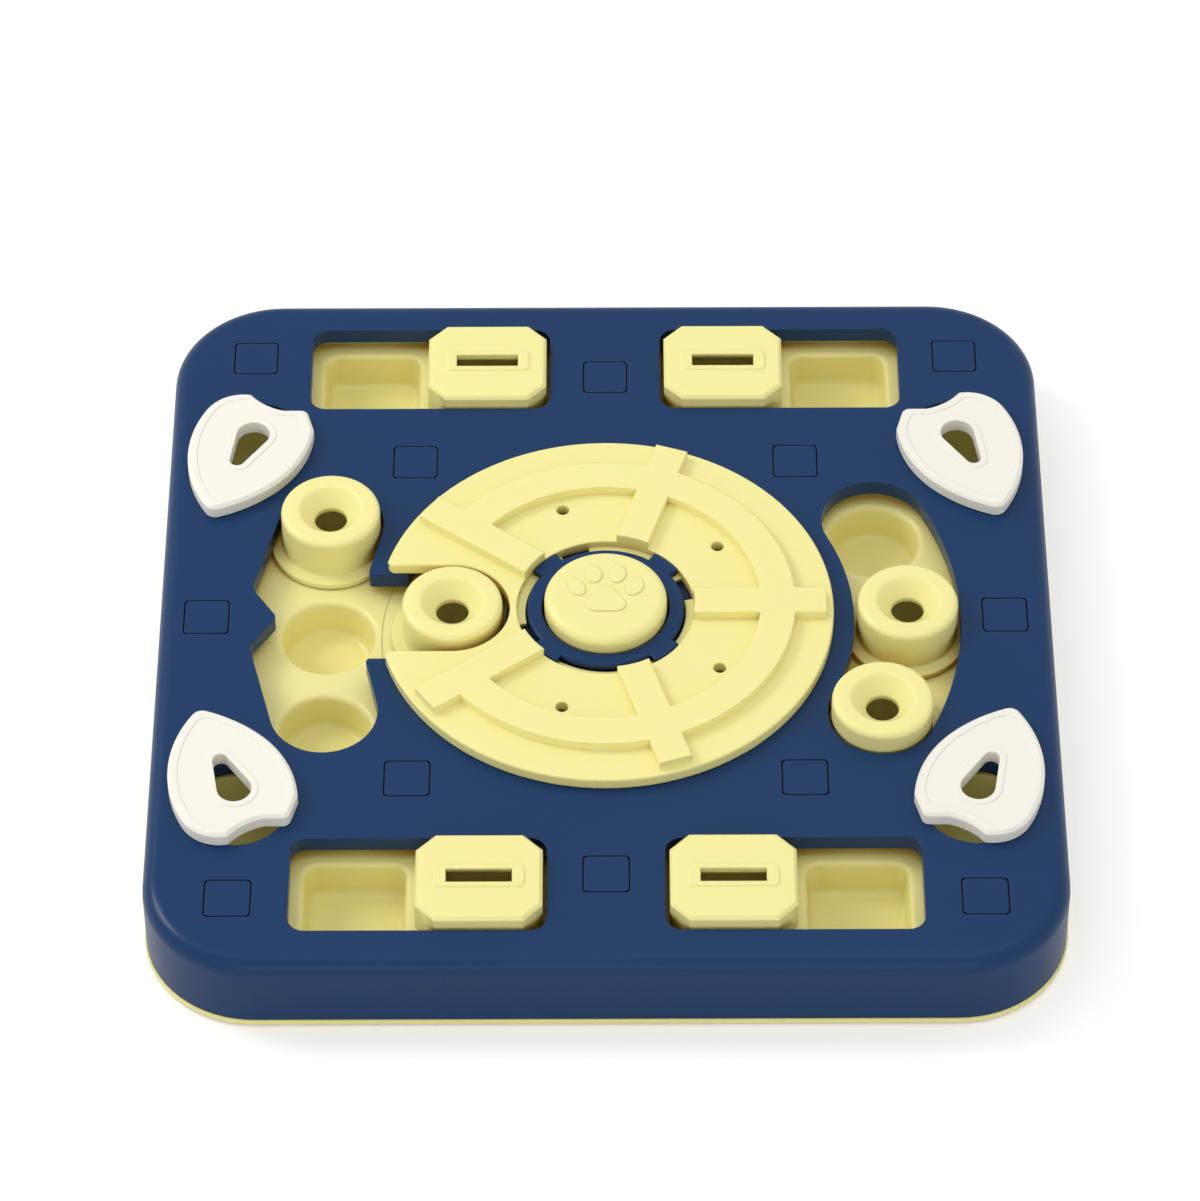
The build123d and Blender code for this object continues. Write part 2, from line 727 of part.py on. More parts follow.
# ---- Pucks -------------------------------------------------------------------------------------------
puck_places = {
    "kidney_puck_1": ring_place(kidney_path, 0),
    "kidney_puck_2": ring_place(kidney_path, -kidney_angle),
    "maze_puck": (-maze_column, cup_pitch),
    "notch_puck": (-wheel_cup_radius, 0),
}
for name, (x, y) in puck_places.items():
    with BuildPart() as puck:
        with BuildSketch(Plane((x, y, 0), x_dir=(1, 0, 0), z_dir=(0, -1, 0))) as section:
            with BuildLine():
                Polyline(
                    (puck_flange, flange_bottom),
                    (puck_flange, flange_bottom + flange_thickness),
                    (puck_radius, flange_bottom + flange_thickness),
                    (puck_radius, puck_top),
                    (funnel_top, puck_top),
                    (funnel_hole, puck_top - funnel_depth),
                    (funnel_hole, puck_top - funnel_depth - puck_wall),
                    (funnel_top, puck_top - puck_wall - puck_edge),
                    (puck_radius - puck_wall, puck_top - puck_wall - puck_edge),
                    (puck_radius - puck_wall, flange_bottom),
                    close=True,
                )
            make_face()
            fillet(section.vertices().sort_by_distance((puck_radius, puck_top))[0], puck_edge)
        revolve(axis=Axis((x, y, 0), (0, 0, 1)))
    save(puck.part, name)

# ---- Sliders -----------------------------------------------------------------------------------------
for number, (sx, sy) in enumerate(quarters, 1):
    place = (sx * slider_start, sy * slot_row)
    with BuildPart() as slider:
        with BuildSketch(Plane.XY.offset(flange_bottom)) as body:
            with Locations(place):
                Rectangle(slider_length, slider_width)
            chamfer(body.vertices(), slider_corner)
        extrude(amount=slider_top - flange_bottom)
        chamfer(slider.faces().sort_by(Axis.Z)[-1].edges(), slider_edge)
        with BuildSketch(Plane.XY.offset(flange_bottom)):
            with Locations(place):
                Rectangle(slider_length, slot_width + 2 * slider_flange)
        extrude(amount=flange_thickness)
        with BuildSketch(Plane.XY.offset(slider_top)):
            with Locations(place):
                RectangleRounded(
                    finger_length + 2 * finger_border_ends,
                    finger_width + 2 * finger_border_sides,
                    finger_border_sides,
                )
        extrude(amount=finger_border_rise)
        chamfer(slider.faces().sort_by(Axis.Z)[-1].edges(), finger_border_edge)
        with BuildSketch(Plane.XY.offset(flange_bottom)) as hollow:
            with Locations(place):
                Rectangle(slider_length - 2 * slider_wall, slider_width - 2 * slider_wall)
            chamfer(hollow.vertices(), slider_corner)
        extrude(amount=slider_top - slider_wall - flange_bottom, mode=Mode.SUBTRACT)
        with BuildSketch(Plane.XY.offset(flange_bottom)):
            with Locations(place):
                Rectangle(finger_length, finger_width)
        extrude(amount=slider_top - flange_bottom + finger_border_rise, mode=Mode.SUBTRACT)
    save(slider.part, f"slider_{number}")

# ---- Flaps, each with its washer and screw -----------------------------------------------------------
stem_bottom = plate_bottom - slide_gap

with BuildPart() as flap:
    with BuildSketch(Plane.XY.offset(flap_bottom)):
        add(flap_outline())
    extrude(amount=flap_thickness)
    chamfer(flap.faces().sort_by(Axis.Z)[-1].edges(), flap_edge)
    with BuildSketch(Plane.XY.offset(flap_top)):
        add(flap_outline(-flap_border))
        add(tear_outline(tear_rim), mode=Mode.SUBTRACT)
    extrude(amount=-flap_recess, mode=Mode.SUBTRACT)
    with BuildSketch(Plane.XY.offset(flap_bottom)):
        add(flap_outline(-flap_wall))
        add(tear_outline(tear_rim), mode=Mode.SUBTRACT)
        with Locations(pivot_place):
            Circle(pivot_radius, mode=Mode.SUBTRACT)
    extrude(amount=flap_thickness - flap_wall, mode=Mode.SUBTRACT)
    with BuildSketch(Plane.XY.offset(flap_bottom)):
        add(tear_outline())
    extrude(amount=flap_thickness, mode=Mode.SUBTRACT)
    with BuildSketch(Plane.XY.offset(stem_bottom)):
        with Locations(pivot_place):
            Circle(pivot_radius)
    extrude(amount=flap_top - flap_wall - stem_bottom)
    with BuildSketch(Plane.XY.offset(stem_bottom)):
        with Locations(pivot_place):
            Circle(flap_screw_radius + screw_play)
    extrude(amount=flap_screw_length, mode=Mode.SUBTRACT)

with BuildPart() as flap_washer:
    with BuildSketch(Plane.XY.offset(stem_bottom)):
        with Locations(pivot_place):
            Circle(washer_radius)
            Circle(flap_screw_radius + screw_play, mode=Mode.SUBTRACT)
    extrude(amount=-washer_thickness)

with BuildPart() as flap_screw:
    with BuildSketch(Plane.XY.offset(stem_bottom - washer_thickness)):
        with Locations(pivot_place):
            Circle(flap_screw_head)
    extrude(amount=-screw_head_height)
    with BuildSketch(Plane.XY.offset(stem_bottom - washer_thickness)):
        with Locations(pivot_place):
            Circle(flap_screw_radius)
    extrude(amount=flap_screw_length)

for number, (sx, sy) in enumerate(quarters, 1):
    for piece, name in ((flap, "flap"), (flap_washer, "flap_washer"), (flap_screw, "flap_screw")):
        with BuildPart() as placed:
            add(piece.part)
            if sx < 0:
                mirror(about=Plane.YZ, mode=Mode.REPLACE)
            if sy < 0:
                mirror(about=Plane.XZ, mode=Mode.REPLACE)
        save(placed.part, f"{name}_{number}")

# ---- Button and squeaker -----------------------------------------------------------------------------
button_flange_top = hub_shoulder_z - slide_gap
button_inner = button_radius - button_wall
button_foot = cup_bottom + button_travel + slide_gap  # the skirt's end, which meets the pan when pressed


def paw_pad():
    """The paw's main pad: three circles joined by their tangents."""
    with BuildSketch() as pad:
        with BuildLine():
            CenterArc((0, pad_top_y), pad_top_radius, 0, 360)
            CenterArc((pad_heel_x, pad_heel_y), pad_heel_radius, 0, 360)
            CenterArc((-pad_heel_x, pad_heel_y), pad_heel_radius, 0, 360)
        make_hull()
    return pad.sketch


with BuildPart() as paw_button:
    with BuildSketch(Plane.XZ) as section:
        with BuildLine():
            Polyline(
                (button_inner, button_foot),
                (button_radius, button_foot),
                (button_radius, button_flange_top - button_flange),
                (button_flange_radius, button_flange_top - button_flange),
                (button_flange_radius, button_flange_top),
                (button_radius, button_flange_top),
                (button_radius, button_top),
                (0, button_top),
                (0, button_top - button_wall),
                (button_inner, button_top - button_wall),
                close=True,
            )
        make_face()
        fillet(section.vertices().sort_by_distance((button_radius, button_top))[0], button_edge)
    revolve(axis=Axis.Z)
    with BuildSketch(Plane.XY.offset(button_top)):
        add(paw_pad())
        for side in (-1, 1):
            with Locations(Location((side * toe_outer_x, toe_outer_y), -side * toe_outer_tilt)):
                Ellipse(toe_width / 2, toe_length / 2)
            with Locations(Location((side * toe_inner_x, toe_inner_y), -side * toe_inner_tilt)):
                Ellipse(toe_width / 2, toe_length / 2)
    extrude(amount=paw_rise)
save(paw_button.part, "paw_button")

bellows_top = button_top - button_wall - seat_gap
fold_height = (bellows_top - cup_bottom) / bellows_folds
with BuildPart() as squeaker:
    with BuildSketch(Plane.XZ):
        folds = [(bellows_inner, cup_bottom)]
        for fold in range(bellows_folds):
            folds.append((bellows_outer, cup_bottom + (fold + 0.5) * fold_height))
            folds.append((bellows_inner, cup_bottom + (fold + 1) * fold_height))
        inside = [(radius - bellows_wall, z) for radius, z in reversed(folds)]
        inside[0] = (inside[0][0], bellows_top - bellows_wall)
        inside[-1] = (inside[-1][0], cup_bottom + bellows_wall)
        with BuildLine():
            Polyline(
                (0, cup_bottom),
                *folds,
                (0, bellows_top),
                (0, bellows_top - bellows_wall),
                *inside,
                (0, cup_bottom + bellows_wall),
                close=True,
            )
        make_face()
    revolve(axis=Axis.Z)
save(squeaker.part, "squeaker")
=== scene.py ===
"""Looks of the dog puzzle feeder: moulded plastics, rubber and steel, and the studio round them.

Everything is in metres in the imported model's frame: +Z up, +X right, +Y away from the player.
"""

import json
import logging
import math
from dataclasses import dataclass, field
from enum import Enum
from typing import ClassVar

import bmesh
import bpy
from mathutils import Euler, Matrix, Vector


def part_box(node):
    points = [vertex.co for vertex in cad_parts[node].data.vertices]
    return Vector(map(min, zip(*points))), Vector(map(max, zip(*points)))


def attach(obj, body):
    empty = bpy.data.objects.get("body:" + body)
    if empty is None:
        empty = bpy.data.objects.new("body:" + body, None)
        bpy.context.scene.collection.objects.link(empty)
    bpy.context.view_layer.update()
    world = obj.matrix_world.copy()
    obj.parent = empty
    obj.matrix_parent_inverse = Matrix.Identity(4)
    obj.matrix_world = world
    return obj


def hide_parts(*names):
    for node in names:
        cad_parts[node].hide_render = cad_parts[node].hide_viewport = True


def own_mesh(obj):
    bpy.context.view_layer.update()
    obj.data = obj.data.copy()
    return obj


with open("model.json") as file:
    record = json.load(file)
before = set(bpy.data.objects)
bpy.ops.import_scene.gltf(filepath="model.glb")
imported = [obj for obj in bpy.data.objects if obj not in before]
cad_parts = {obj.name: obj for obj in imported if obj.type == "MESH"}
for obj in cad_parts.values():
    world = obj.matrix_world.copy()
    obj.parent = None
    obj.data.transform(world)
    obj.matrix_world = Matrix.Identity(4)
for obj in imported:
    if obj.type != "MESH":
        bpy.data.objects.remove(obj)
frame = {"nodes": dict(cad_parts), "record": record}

logging.basicConfig(level=logging.INFO, format="%(name)s: %(message)s")
log = logging.getLogger("feeder")

MM = 0.001
MERGED = 0.000002  # points of a new form closer than this are one
PACKED_MERGED = 0.000003  # and points of a packed form
TOUCHING = 0.00001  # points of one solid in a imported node
Colour = tuple[float, float, float]
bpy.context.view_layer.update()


class Slot(Enum):
    """The record's material slots."""

    NAVY = "navy_plastic"
    CREAM = "cream_plastic"
    WHITE = "white_plastic"
    STEEL = "screw_steel"
    FOOT = "foot_rubber"
    SQUEAKER = "squeaker_rubber"


class Effects:
    """Shader node groups that more than one finish uses, each built once."""

    RAYS = 8  # rays for each bevel and occlusion lookup
    NOISES = (("Drift", 3.0, 0.55), ("Grain", 2.0, 0.5))  # input label, detail and roughness

    @staticmethod
    def group(
        name: str, inputs: dict[str, float | Colour], outputs: dict[str, str]
    ) -> tuple[bpy.types.NodeTree, bool]:
        """A node group with its sockets.

        Args:
            name: The group's name.
            inputs: Socket names with their default value or colour.
            outputs: Socket names with their socket type.

        Returns:
            The group, and True where it is new and still empty.
        """
        if name in bpy.data.node_groups:
            return bpy.data.node_groups[name], False
        tree = bpy.data.node_groups.new(name, "ShaderNodeTree")
        for label, value in inputs.items():
            kind = "NodeSocketFloat" if isinstance(value, float) else "NodeSocketColor"
            socket = tree.interface.new_socket(label, in_out="INPUT", socket_type=kind)
            socket.default_value = value if isinstance(value, float) else (*value, 1.0)
        for label, kind in outputs.items():
            tree.interface.new_socket(label, in_out="OUTPUT", socket_type=kind)
        tree.nodes.new("NodeGroupInput")
        tree.nodes.new("NodeGroupOutput")
        return tree, True

    @staticmethod
    def ends(tree: bpy.types.NodeTree) -> tuple[bpy.types.Node, bpy.types.Node]:
        """The group's input and output nodes."""
        return tree.nodes["Group Input"], tree.nodes["Group Output"]

    @classmethod
    def soft_edges(cls) -> bpy.types.NodeTree:
        """Small mould radii on every corner, and a mask of where they are.

        Returns:
            A group with Radius and Gain in, and Normal and Edge out.
        """
        tree, new = cls.group(
            "soft_edges",
            {"Radius": 0.0005, "Gain": 4.0},
            {"Normal": "NodeSocketVector", "Edge": "NodeSocketFloat"},
        )
        if not new:
            return tree
        start, end = cls.ends(tree)
        bevel = tree.nodes.new("ShaderNodeBevel")
        bevel.samples = cls.RAYS
        geometry = tree.nodes.new("ShaderNodeNewGeometry")
        dot = tree.nodes.new("ShaderNodeVectorMath")
        dot.operation = "DOT_PRODUCT"
        away = tree.nodes.new("ShaderNodeMath")
        away.operation = "SUBTRACT"
        away.inputs[0].default_value = 1.0
        gain = tree.nodes.new("ShaderNodeMath")
        gain.operation = "MULTIPLY"
        gain.use_clamp = True
        tree.links.new(start.outputs["Radius"], bevel.inputs["Radius"])
        tree.links.new(bevel.outputs["Normal"], dot.inputs[0])
        tree.links.new(geometry.outputs["Normal"], dot.inputs[1])
        tree.links.new(dot.outputs["Value"], away.inputs[1])
        tree.links.new(away.outputs[0], gain.inputs[0])
        tree.links.new(start.outputs["Gain"], gain.inputs[1])
        tree.links.new(bevel.outputs["Normal"], end.inputs["Normal"])
        tree.links.new(gain.outputs[0], end.inputs["Edge"])
        return tree

    @classmethod
    def skin(cls) -> bpy.types.NodeTree:
        """The surface of a moulding: a slow drift of tone, and a fine spark-eroded grain.

        Returns:
            A group with two sizes, Polish and Spread in, and Drift, Grain and Roughness out.
        """
        tree, new = cls.group(
            "moulding_skin",
            {"Drift Size": 0.05, "Grain Size": 0.0004, "Polish": 0.4, "Spread": 0.06},
            {"Drift": "NodeSocketFloat", "Grain": "NodeSocketFloat", "Roughness": "NodeSocketFloat"},
        )
        if not new:
            return tree
        start, end = cls.ends(tree)
        place = tree.nodes.new("ShaderNodeTexCoord")
        outputs = {}
        for label, detail, roughness in cls.NOISES:
            scale = tree.nodes.new("ShaderNodeMath")
            scale.operation = "DIVIDE"
            scale.inputs[0].default_value = 1.0
            noise = tree.nodes.new("ShaderNodeTexNoise")
            noise.inputs["Detail"].default_value = detail
            noise.inputs["Roughness"].default_value = roughness
            tree.links.new(start.outputs[f"{label} Size"], scale.inputs[1])
            tree.links.new(scale.outputs[0], noise.inputs["Scale"])
            tree.links.new(place.outputs["Object"], noise.inputs["Vector"])
            tree.links.new(noise.outputs["Fac"], end.inputs[label])
            outputs[label] = noise.outputs["Fac"]
        shift = tree.nodes.new("ShaderNodeMath")
        shift.operation = "SUBTRACT"
        shift.inputs[1].default_value = 0.5
        polish = tree.nodes.new("ShaderNodeMath")
        polish.operation = "MULTIPLY_ADD"
        tree.links.new(outputs["Drift"], shift.inputs[0])
        tree.links.new(shift.outputs[0], polish.inputs[0])
        tree.links.new(start.outputs["Spread"], polish.inputs[1])
        tree.links.new(start.outputs["Polish"], polish.inputs[2])
        tree.links.new(polish.outputs[0], end.inputs["Roughness"])
        return tree

    @classmethod
    def hollow_shade(cls) -> bpy.types.NodeTree:
        """A mask of the places that face their own walls closely, such as cups and slots, for painting
        shade into their colour.

        Returns:
            A group with Distance, Start and Full in, and the painted-shade mask out.
        """
        tree, new = cls.group(
            "hollow_shade",
            {"Distance": 0.02, "Start": 0.5, "Full": 0.1},
            {"Painted Shade": "NodeSocketFloat"},
        )
        if not new:
            return tree
        start, end = cls.ends(tree)
        open_sky = tree.nodes.new("ShaderNodeAmbientOcclusion")
        open_sky.samples = cls.RAYS
        ramp = tree.nodes.new("ShaderNodeMapRange")
        ramp.interpolation_type = "SMOOTHSTEP"
        tree.links.new(start.outputs["Distance"], open_sky.inputs["Distance"])
        tree.links.new(open_sky.outputs["AO"], ramp.inputs["Value"])
        tree.links.new(start.outputs["Start"], ramp.inputs["From Min"])
        tree.links.new(start.outputs["Full"], ramp.inputs["From Max"])
        tree.links.new(ramp.outputs["Result"], end.inputs["Painted Shade"])
        return tree

    @classmethod
    def tone(cls) -> bpy.types.NodeTree:
        """A plastic's colour: the drift between two tones, paler edges as a painted highlight, and
        painted shade in the hollows.

        Returns:
            A group with four colours, three masks and a strength in, and Colour out.
        """
        tree, new = cls.group(
            "plastic_tone",
            {
                "Light Tone": (1.0, 1.0, 1.0),
                "Deep Tone": (0.8, 0.8, 0.8),
                "Edge Highlight Tone": (1.0, 1.0, 1.0),
                "Painted Shade Tone": (0.4, 0.4, 0.4),
                "Drift": 0.5,
                "Edge": 0.0,
                "Edge Highlight Strength": 0.2,
                "Painted Shade": 0.0,
            },
            {"Colour": "NodeSocketColor"},
        )
        if not new:
            return tree
        start, end = cls.ends(tree)
        body = tree.nodes.new("ShaderNodeMix")
        body.data_type = "RGBA"
        # Painted highlight: paler along the rounded corners.
        painted_highlight_mix = tree.nodes.new("ShaderNodeMix")
        painted_highlight_mix.data_type = "RGBA"
        # Painted shade: darker where the occlusion mask is high.
        painted_shade_mix = tree.nodes.new("ShaderNodeMix")
        painted_shade_mix.data_type = "RGBA"
        amount = tree.nodes.new("ShaderNodeMath")
        amount.operation = "MULTIPLY"
        tree.links.new(start.outputs["Drift"], body.inputs["Factor"])
        tree.links.new(start.outputs["Deep Tone"], body.inputs["A"])
        tree.links.new(start.outputs["Light Tone"], body.inputs["B"])
        tree.links.new(start.outputs["Edge"], amount.inputs[0])
        tree.links.new(start.outputs["Edge Highlight Strength"], amount.inputs[1])
        tree.links.new(amount.outputs[0], painted_highlight_mix.inputs["Factor"])
        tree.links.new(body.outputs["Result"], painted_highlight_mix.inputs["A"])
        tree.links.new(start.outputs["Edge Highlight Tone"], painted_highlight_mix.inputs["B"])
        tree.links.new(start.outputs["Painted Shade"], painted_shade_mix.inputs["Factor"])
        tree.links.new(painted_highlight_mix.outputs["Result"], painted_shade_mix.inputs["A"])
        tree.links.new(start.outputs["Painted Shade Tone"], painted_shade_mix.inputs["B"])
        tree.links.new(painted_shade_mix.outputs["Result"], end.inputs["Colour"])
        return tree


@dataclass(frozen=True)
class Finish:
    """One finish of the toy, as a Principled material with grain, drift and softened edges."""

    GLOW_REACH: ClassVar[float] = 0.0025  # how far light spreads under the surface, in metres
    GLOW_TINT: ClassVar[Colour] = (1.0, 0.8, 0.3)
    GRAIN_STRENGTH: ClassVar[float] = 0.5

    slot: Slot
    light: Colour
    deep: Colour
    # The paler colour of rounded corners: a painted highlight.
    edge: Colour
    # The dark colour of cups, slots and holes: painted shade.
    painted_shade: Colour
    edge_highlight_strength: float
    roughness: float
    roughness_spread: float
    edge_radius: float
    drift_size: float
    grain_size: float
    grain_height: float
    subsurface: float = 0.0
    metallic: float = 0.0
    specular: float = 0.5
    # Where the painted shade starts and where it is full, on the occlusion scale.
    painted_shade_start: float = 0.5
    painted_shade_full: float = 0.1

    @staticmethod
    def place(tree: bpy.types.NodeTree, effect: bpy.types.NodeTree, values: dict) -> bpy.types.Node:
        """Put a shared effect into a material.

        Args:
            tree: The material's node tree.
            effect: The node group.
            values: Values for the group's inputs.

        Returns:
            The group's node.
        """
        node = tree.nodes.new("ShaderNodeGroup")
        node.node_tree = effect
        for label, value in values.items():
            node.inputs[label].default_value = value if isinstance(value, float) else (*value, 1.0)
        return node

    def material(self) -> bpy.types.Material:
        """The finish's material, made at its first use.

        Returns:
            The material, named for its slot.
        """
        if self.slot.value in bpy.data.materials:
            found = bpy.data.materials[self.slot.value]
            if found.get("dressed"):
                return found
            found.name = f"{self.slot.value}_packed"
        material = bpy.data.materials.new(self.slot.value)
        material["dressed"] = True
        material.use_nodes = True
        material.diffuse_color = (*self.light, 1.0)
        tree = material.node_tree
        shader = tree.nodes["Principled BSDF"]
        shader.inputs["Metallic"].default_value = self.metallic
        shader.inputs["Specular IOR Level"].default_value = self.specular
        shader.inputs["Subsurface Weight"].default_value = self.subsurface
        shader.inputs["Subsurface Radius"].default_value = self.GLOW_TINT
        shader.inputs["Subsurface Scale"].default_value = self.GLOW_REACH
        edges = self.place(tree, Effects.soft_edges(), {"Radius": self.edge_radius})
        skin = self.place(
            tree,
            Effects.skin(),
            {
                "Drift Size": self.drift_size,
                "Grain Size": self.grain_size,
                "Polish": self.roughness,
                "Spread": self.roughness_spread,
            },
        )
        tone = self.place(
            tree,
            Effects.tone(),
            {
                "Light Tone": self.light,
                "Deep Tone": self.deep,
                "Edge Highlight Tone": self.edge,
                "Painted Shade Tone": self.painted_shade,
                "Edge Highlight Strength": self.edge_highlight_strength,
            },
        )
        # Painted shade: an occlusion mask darkens the colour in cups, slots and holes.
        painted_shade = self.place(
            tree, Effects.hollow_shade(), {"Start": self.painted_shade_start, "Full": self.painted_shade_full}
        )
        bump = tree.nodes.new("ShaderNodeBump")
        bump.inputs["Strength"].default_value = self.GRAIN_STRENGTH
        bump.inputs["Distance"].default_value = self.grain_height
        tree.links.new(skin.outputs["Drift"], tone.inputs["Drift"])
        # The corner mask also paints a paler highlight along the edges.
        tree.links.new(edges.outputs["Edge"], tone.inputs["Edge"])
        tree.links.new(painted_shade.outputs["Painted Shade"], tone.inputs["Painted Shade"])
        tree.links.new(tone.outputs["Colour"], shader.inputs["Base Color"])
        tree.links.new(skin.outputs["Roughness"], shader.inputs["Roughness"])
        tree.links.new(skin.outputs["Grain"], bump.inputs["Height"])
        tree.links.new(edges.outputs["Normal"], bump.inputs["Normal"])
        tree.links.new(bump.outputs["Normal"], shader.inputs["Normal"])
        return material


NAVY = Finish(
    slot=Slot.NAVY,
    light=(0.0042, 0.0360, 0.1210),
    deep=(0.0032, 0.0320, 0.1110),
    # Paler blue painted highlight on the corners.
    edge=(0.0600, 0.1250, 0.2500),
    painted_shade=(0.0020, 0.0080, 0.0240),
    edge_highlight_strength=0.18,
    roughness=0.29,
    roughness_spread=0.08,
    edge_radius=0.0006,
    drift_size=0.06,
    grain_size=0.00035,
    grain_height=0.00001,
    specular=0.24,
)
CREAM = Finish(
    slot=Slot.CREAM,
    light=(0.900, 0.830, 0.345),
    deep=(0.880, 0.805, 0.320),
    edge=(0.930, 0.880, 0.430),
    # Dark brown painted shade for cups and puck holes.
    painted_shade=(0.520, 0.310, 0.004),
    edge_highlight_strength=0.15,
    roughness=0.33,
    roughness_spread=0.08,
    edge_radius=0.0008,
    drift_size=0.05,
    grain_size=0.00035,
    grain_height=0.00001,
    subsurface=0.16,
    specular=0.42,
    painted_shade_start=0.38,
    painted_shade_full=0.06,
)
WHITE = Finish(
    slot=Slot.WHITE,
    light=(0.880, 0.856, 0.772),
    deep=(0.860, 0.834, 0.748),
    edge=(0.930, 0.925, 0.880),
    painted_shade=(0.600, 0.560, 0.440),
    edge_highlight_strength=0.15,
    roughness=0.42,
    roughness_spread=0.08,
    edge_radius=0.0005,
    drift_size=0.05,
    grain_size=0.00035,
    grain_height=0.00001,
    subsurface=0.04,
    specular=0.3,
)
STEEL = Finish(
    slot=Slot.STEEL,
    light=(0.60, 0.60, 0.59),
    deep=(0.50, 0.50, 0.50),
    edge=(0.75, 0.75, 0.74),
    painted_shade=(0.12, 0.12, 0.12),
    edge_highlight_strength=0.5,
    roughness=0.34,
    roughness_spread=0.2,
    edge_radius=0.0002,
    drift_size=0.004,
    grain_size=0.0002,
    grain_height=0.00001,
    metallic=1.0,
)
FOOT = Finish(
    slot=Slot.FOOT,
    light=(0.036, 0.036, 0.038),
    deep=(0.026, 0.026, 0.028),
    edge=(0.080, 0.080, 0.082),
    painted_shade=(0.010, 0.010, 0.010),
    edge_highlight_strength=0.3,
    roughness=0.72,
    roughness_spread=0.15,
    edge_radius=0.0004,
    drift_size=0.01,
    grain_size=0.0003,
    grain_height=0.00003,
)
SQUEAKER = Finish(
    slot=Slot.SQUEAKER,
    light=(0.52, 0.51, 0.48),
    deep=(0.44, 0.43, 0.40),
    edge=(0.66, 0.65, 0.62),
    painted_shade=(0.15, 0.14, 0.12),
    edge_highlight_strength=0.3,
    roughness=0.6,
    roughness_spread=0.1,
    edge_radius=0.0005,
    drift_size=0.02,
    grain_size=0.0003,
    grain_height=0.00002,
)
FINISHES = {finish.slot: finish for finish in (NAVY, CREAM, WHITE, STEEL, FOOT, SQUEAKER)}


def dress(piece: bpy.types.Object, finish: Finish) -> None:
    """Give every face of a piece one finish.

    Args:
        piece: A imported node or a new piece.
        finish: The finish.
    """
    piece.data.materials.clear()
    piece.data.materials.append(finish.material())


def make_piece(
    name: str, form: bmesh.types.BMesh, slot: Slot, body: str, node: str | None, sharp_from: float
) -> bpy.types.Object:
    """Turn a finished form into a smooth-shaded piece on its body.

    Args:
        name: The piece's name.
        form: The form, which is freed.
        slot: Its material slot.
        body: The body it rides on.
        node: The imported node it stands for, or None for one that only adds detail.
        sharp_from: Corners from this angle up, in degrees, stay sharp in the shading.

    Returns:
        The piece.
    """
    mesh = bpy.data.meshes.new(name)
    form.to_mesh(mesh)
    form.free()
    mesh.shade_smooth()
    mesh.set_sharp_from_angle(angle=math.radians(sharp_from))
    piece = bpy.data.objects.new(name, mesh)
    bpy.context.scene.collection.objects.link(piece)
    shading = piece.modifiers.new("weighted_normals", "WEIGHTED_NORMAL")
    shading.keep_sharp = True
    dress(piece, FINISHES[slot])
    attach(piece, body)
    if node:
        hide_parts(node)
    return piece


@dataclass
class PackedPieces:
    """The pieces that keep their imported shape."""

    slots: dict[str, Slot] = field(default_factory=dict)

    def __post_init__(self) -> None:
        """Read each node's slot from the record."""
        for row in frame["record"]["subparts"]:
            self.slots[row["node"]] = Slot(row["material_slot"])

    def build(self) -> None:
        """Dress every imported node."""
        for name, piece in frame["nodes"].items():
            dress(piece, FINISHES[self.slots[name]])
            log.info("dressed %s in %s", name, self.slots[name].value)


@dataclass(frozen=True)
class Corner:
    """One corner of a turned piece's section, in millimetres, with its fillet."""

    radius: float
    height: float
    fillet: float = 0.0

    @property
    def point(self) -> Vector:
        """The corner in the section's plane, in metres."""
        return Vector((self.radius, self.height)) * MM


def rounded(corners: list[Corner], closed: bool, steps: int = 7) -> list[Vector]:
    """A section with its corners filleted.

    Args:
        corners: The section's corners, in order.
        closed: True where the last corner joins the first.
        steps: Points along each fillet.

    Returns:
        The section's points, as radius and height in metres.
    """
    points = []
    for index, corner in enumerate(corners):
        ends = not closed and index in (0, len(corners) - 1)
        if ends or corner.fillet == 0.0:
            points.append(corner.point)
            continue
        before = (corners[index - 1].point - corner.point).normalized()
        after = (corners[(index + 1) % len(corners)].point - corner.point).normalized()
        half = before.angle(after) / 2
        reach = corner.fillet * MM / math.tan(half)
        centre = corner.point + (before + after).normalized() * corner.fillet * MM / math.sin(half)
        first = corner.point + before * reach - centre
        last = corner.point + after * reach - centre
        for step in range(steps + 1):
            along = first.slerp(last, step / steps).normalized()
            points.append(centre + along * corner.fillet * MM)
    return points


@dataclass
class Turned:
    """A round piece, or several alike, turned from one section about upright axes."""

    SHARP_FROM: ClassVar[float] = 35.0

    name: str
    slot: Slot
    body: str
    node: str | None
    corners: list[Corner]
    places: list[Vector]
    closed: bool = True
    segments: int = 128

    def turn(self, form: bmesh.types.BMesh, place: Vector) -> None:
        """Spin the section about one axis.

        Args:
            form: The mesh being built.
            place: Where the axis stands.
        """
        section = rounded(self.corners, self.closed)
        rim = [form.verts.new((place.x + point.x, place.y, point.y)) for point in section]
        pairs = list(zip(rim, rim[1:]))
        if self.closed:
            pairs.append((rim[-1], rim[0]))
        edges = [form.edges.new(pair) for pair in pairs]
        bmesh.ops.spin(
            form,
            geom=rim + edges,
            cent=(place.x, place.y, 0.0),
            axis=(0.0, 0.0, 1.0),
            angle=2 * math.pi,
            steps=self.segments,
            use_merge=True,
        )

    def detail(self, form: bmesh.types.BMesh, place: Vector) -> None:
        """Add what a turned section can't hold; plain turned pieces have none.

        Args:
            form: The mesh being built.
            place: Where the piece's axis stands.
        """

    def build(self) -> bpy.types.Object:
        """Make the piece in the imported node's place.

        Returns:
            The piece.
        """
        form = bmesh.new()
        for place in self.places:
            self.turn(form, place)
            self.detail(form, place)
        bmesh.ops.remove_doubles(form, verts=form.verts, dist=MERGED)
        bmesh.ops.recalc_face_normals(form, faces=form.faces)
        piece = make_piece(self.name, form, self.slot, self.body, self.node, self.SHARP_FROM)
        log.info("turned %s, %d faces", self.name, len(piece.data.polygons))
        return piece


